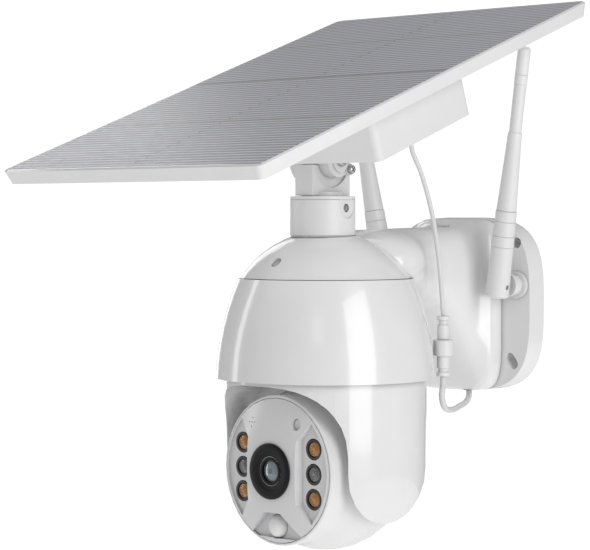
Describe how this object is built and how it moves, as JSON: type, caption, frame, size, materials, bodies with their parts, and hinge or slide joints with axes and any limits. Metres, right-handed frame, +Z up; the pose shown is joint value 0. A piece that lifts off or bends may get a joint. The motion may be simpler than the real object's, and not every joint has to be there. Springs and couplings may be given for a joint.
{
  "type": "solar security camera",
  "caption": "Outdoor pan-and-tilt camera hung under a curved wall arm, with a tilting solar panel and battery box on a post above it and folding antennas beside the arm.",
  "frame": {"origin": "centre of the wall plate's back face", "axes": "+Y into the wall, +Z up, -Y out along the arm towards the camera; +X is on the right of someone who faces the wall"},
  "size_m": [0.1814, 0.2879, 0.3016],
  "materials": {
    "white_gloss": "glossy white moulding",
    "white_satin": "satin white moulding",
    "lead": "pale grey sheath",
    "grey_face": "fine matt grey",
    "black_gloss": "gloss black",
    "lens": "coated glass",
    "laminate": "solar cells under glass",
    "amber": "amber lamp",
    "smoke": "smoked lamp",
    "pearl": "pearl white",
    "steel": "bright steel",
    "acetal": "moulded acetal",
    "board": "circuit board",
    "battery": "blue shrink sleeve on a metal can",
    "motor": "plated steel can",
    "rubber": "moulded rubber"
  },
  "bodies": {
    "mount": {"wall_plate": "white_gloss", "arm_housing": "white_gloss", "arm_plug": "white_gloss", "arm_grommet": "rubber", "cap_screw_front": "steel", "cap_screw_back": "steel", "shroud": "white_gloss", "collar": "white_satin", "collar_set_screw": "steel", "motor_plate": "acetal", "pan_motor": "motor", "main_board": "board", "antenna_boss_right": "white_satin", "antenna_boss_left": "white_satin", "lead_plug": "white_satin", "lead_socket": "white_satin", "camera_lead": "lead", "solar_lead_lower": "lead"},
    "panel_post": {"post": "white_satin", "post_clip": "steel"},
    "solar_panel": {"panel_frame": "white_gloss", "solar_laminate": "laminate", "battery_box": "white_satin", "battery_cell_1": "battery", "battery_cell_2": "battery", "panel_gland": "rubber", "hinge_bracket": "white_satin", "pivot_bolt": "steel", "pivot_nut": "steel", "tilt_lock_screw": "steel", "solar_lead_upper": "lead"},
    "pan_yoke": {"yoke": "white_gloss", "trunnion_right": "steel", "trunnion_left": "steel", "pan_gear": "acetal", "pan_retainer": "steel"},
    "drive_pinion": {"pan_pinion": "acetal"},
    "camera_head": {"head_shell": "white_gloss", "face_plate": "grey_face", "lens_ring": "black_gloss", "lens_barrel": "black_gloss", "lens_glass": "lens", "camera_board": "board", "lamp_1": "amber", "lamp_2": "smoke", "lamp_3": "amber", "lamp_4": "amber", "lamp_5": "smoke", "lamp_6": "amber", "lamp_board": "board", "pir_lens": "pearl", "light_sensor": "pearl", "tilt_motor": "motor"},
    "antenna_base_right": {"antenna_knuckle_right": "white_satin"},
    "antenna_rod_right": {"antenna_right": "white_satin", "antenna_pin_right": "steel"},
    "antenna_base_left": {"antenna_knuckle_left": "white_satin"},
    "antenna_rod_left": {"antenna_left": "white_satin", "antenna_pin_left": "steel"}
  },
  "joints": [
    {"name": "panel_swivel", "type": "hinge", "parent": "mount", "child": "panel_post", "pos_m": [0, -0.1379, 0.04], "axis": [0, 0, 1], "range_deg": [-10, 10], "deforming": ["solar_lead_lower"]},
    {"name": "panel_tilt", "type": "hinge", "parent": "panel_post", "child": "solar_panel", "pos_m": [0, -0.1379, 0.0813], "axis": [1, 0, 0], "range_deg": [-1.5, 25], "deforming": ["solar_lead_upper"]},
    {"name": "head_pan", "type": "hinge", "parent": "mount", "child": "pan_yoke", "pos_m": [0, -0.1355, -0.0367], "axis": [0, 0, 1], "range_deg": [-171, 178]},
    {"name": "pinion_spin", "type": "hinge", "parent": "mount", "child": "drive_pinion", "pos_m": [0, -0.1055, -0.0217], "axis": [0, 0, 1], "range_deg": [-715, 690]},
    {"name": "head_tilt", "type": "hinge", "parent": "pan_yoke", "child": "camera_head", "pos_m": [0, -0.1355, -0.0847], "axis": [0.9982, -0.0593, 0], "range_deg": [-10, 90]},
    {"name": "antenna_swivel_right", "type": "hinge", "parent": "mount", "child": "antenna_base_right", "pos_m": [0.041, -0.0325, 0.0116], "axis": [0, 1, 0], "range_deg": [0, 80]},
    {"name": "antenna_fold_right", "type": "hinge", "parent": "antenna_base_right", "child": "antenna_rod_right", "pos_m": [0.041, -0.0325, 0.0116], "axis": [0.9863, 0, -0.165], "range_deg": [0, 4]},
    {"name": "antenna_swivel_left", "type": "hinge", "parent": "mount", "child": "antenna_base_left", "pos_m": [-0.041, -0.0325, 0.0116], "axis": [0, -1, 0], "range_deg": [0, 80]},
    {"name": "antenna_fold_left", "type": "hinge", "parent": "antenna_base_left", "child": "antenna_rod_left", "pos_m": [-0.041, -0.0325, 0.0116], "axis": [0.9863, 0, 0.165], "range_deg": [0, 4]}
  ],
  "couplings": [
    {"joint": "pinion_spin", "follows": "head_pan", "ratio": -4}
  ]
}
